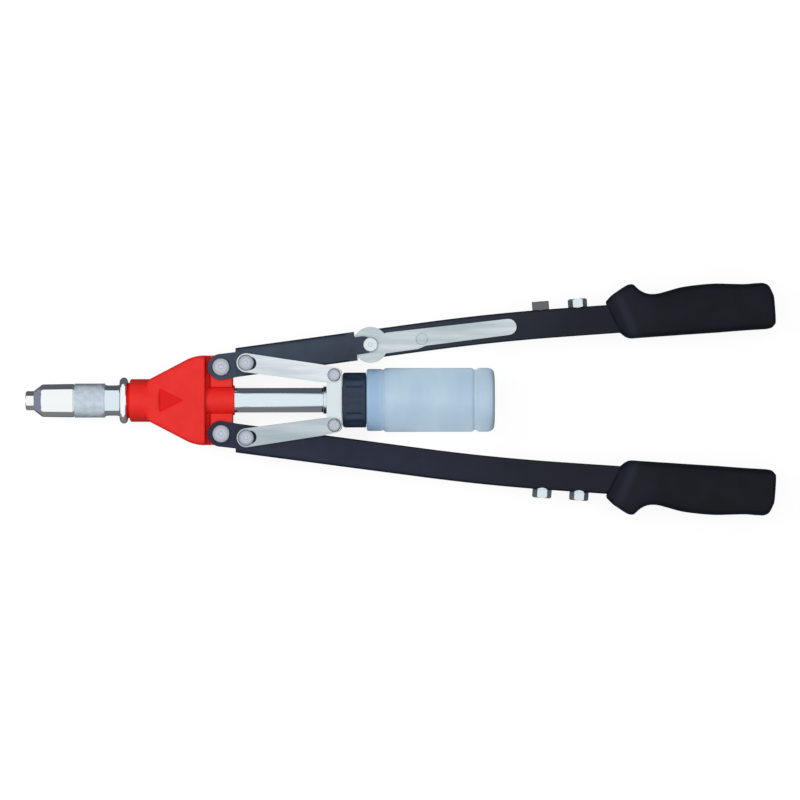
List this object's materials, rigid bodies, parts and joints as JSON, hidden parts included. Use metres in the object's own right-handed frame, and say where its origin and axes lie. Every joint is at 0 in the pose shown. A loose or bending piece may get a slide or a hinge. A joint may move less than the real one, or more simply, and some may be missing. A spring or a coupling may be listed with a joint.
{
  "type": "lever hand riveter",
  "caption": "Long-arm hand riveter: a red cast body and steel nose, two lever arms with rubber grips that draw a pull tube through links, and a bottle for spent mandrels.",
  "frame": {"origin": "centre of the nosepiece's front face, on the pulling axis", "axes": "+X along the pulling axis from the nose towards the grips, +Z along the lever pivots towards the pin heads, +Y towards the folding arm"},
  "size_m": [0.5396, 0.1678, 0.046],
  "materials": {
    "red_enamel": "gloss enamel",
    "polished_chrome": "polished",
    "plated_steel": "bright zinc",
    "link_steel": "brushed",
    "pin_steel": "turned",
    "dark_steel": "blued",
    "black_paint": "satin paint",
    "grip_rubber": "matt",
    "cap_plastic": "moulded",
    "bottle_plastic": "translucent",
    "jaw_steel": "hardened",
    "spring_steel": "drawn wire"
  },
  "bodies": {
    "riveter_body": {"body_casting": "red_enamel", "lock_ring": "polished_chrome", "housing_nipple": "plated_steel", "nose_housing": "polished_chrome", "nosepiece": "polished_chrome", "pivot_pin_upper": "pin_steel", "pivot_pin_lower": "pin_steel", "pivot_clips": "dark_steel"},
    "upper_arm": {"lever_upper_front": "black_paint", "link_pin_upper": "pin_steel", "link_clip_upper": "dark_steel", "knuckle_pin": "pin_steel", "knuckle_clip": "dark_steel"},
    "upper_arm_end": {"lever_upper_rear": "black_paint", "hinge_plate_top": "link_steel", "hinge_plate_bottom": "link_steel", "plate_rivet": "pin_steel", "grip_upper": "grip_rubber", "spare_nosepiece_1": "plated_steel", "spare_nosepiece_2": "plated_steel"},
    "lower_arm": {"lever_lower": "black_paint", "link_pin_lower": "pin_steel", "link_clip_lower": "dark_steel", "grip_lower": "grip_rubber", "spare_nosepiece_3": "plated_steel", "spare_nosepiece_4": "plated_steel"},
    "puller": {"pull_tube": "polished_chrome", "tube_collar": "plated_steel", "yoke": "plated_steel", "yoke_pins": "pin_steel", "yoke_clips": "dark_steel", "jaw_case": "dark_steel", "collector_cap": "cap_plastic"},
    "upper_links": {"link_upper_top": "link_steel", "link_upper_bottom": "link_steel"},
    "lower_links": {"link_lower_top": "link_steel", "link_lower_bottom": "link_steel"},
    "jaw_1": {"jaw_1": "jaw_steel"},
    "jaw_2": {"jaw_2": "jaw_steel"},
    "jaw_3": {"jaw_3": "jaw_steel"},
    "jaw_pusher": {"jaw_pusher": "jaw_steel", "jaw_spring": "spring_steel"},
    "bottle": {"mandrel_bottle": "bottle_plastic"}
  },
  "joints": [
    {"name": "upper_arm_pivot", "type": "hinge", "parent": "riveter_body", "child": "upper_arm", "pos_m": [0.14083, 0.024, 0], "axis": [0, 0, 1], "range_deg": [0, 55]},
    {"name": "lower_arm_pivot", "type": "hinge", "parent": "riveter_body", "child": "lower_arm", "pos_m": [0.14083, -0.024, 0], "axis": [0, 0, -1], "range_deg": [0, 55]},
    {"name": "tube_slide", "type": "slide", "parent": "riveter_body", "child": "puller", "axis": [-1, 0, 0], "range_m": [0, 0.01357]},
    {"name": "upper_link_pivot", "type": "hinge", "parent": "puller", "child": "upper_links", "pos_m": [0.22211, 0.018, 0], "axis": [0, 0, -1], "range_deg": [0, 13.58]},
    {"name": "lower_link_pivot", "type": "hinge", "parent": "puller", "child": "lower_links", "pos_m": [0.22211, -0.018, 0], "axis": [0, 0, 1], "range_deg": [0, 13.58]},
    {"name": "knuckle_hinge", "type": "hinge", "parent": "upper_arm", "child": "upper_arm_end", "pos_m": [0.24813, 0.0397, 0], "axis": [0, 0, 1], "range_deg": [0, 90]},
    {"name": "jaw_1_slide", "type": "slide", "parent": "puller", "child": "jaw_1", "axis": [0.9781, 0, -0.2079], "range_m": [0, 0.00297]},
    {"name": "jaw_2_slide", "type": "slide", "parent": "puller", "child": "jaw_2", "axis": [0.9781, 0.1801, 0.104], "range_m": [0, 0.00297]},
    {"name": "jaw_3_slide", "type": "slide", "parent": "puller", "child": "jaw_3", "axis": [0.9781, -0.1801, 0.104], "range_m": [0, 0.00297]},
    {"name": "pusher_slide", "type": "slide", "parent": "puller", "child": "jaw_pusher", "axis": [1, 0, 0], "range_m": [0, 0.0029], "deforming": ["jaw_spring"]},
    {"name": "bottle_pull_off", "type": "slide", "parent": "puller", "child": "bottle", "axis": [1, 0, 0], "range_m": [0, 0.03]}
  ],
  "couplings": [
    {"joint": "lower_arm_pivot", "follows": "upper_arm_pivot", "ratio": 1},
    {"joint": "tube_slide", "follows": "upper_arm_pivot", "m_per_rad": 0.014132},
    {"joint": "upper_link_pivot", "follows": "upper_arm_pivot", "ratio": 0.24693},
    {"joint": "lower_link_pivot", "follows": "upper_arm_pivot", "ratio": 0.24693},
    {"joint": "jaw_1_slide", "follows": "upper_arm_pivot", "m_per_rad": 0.0030885},
    {"joint": "jaw_2_slide", "follows": "upper_arm_pivot", "m_per_rad": 0.0030885},
    {"joint": "jaw_3_slide", "follows": "upper_arm_pivot", "m_per_rad": 0.0030885},
    {"joint": "pusher_slide", "follows": "upper_arm_pivot", "m_per_rad": 0.003021}
  ]
}
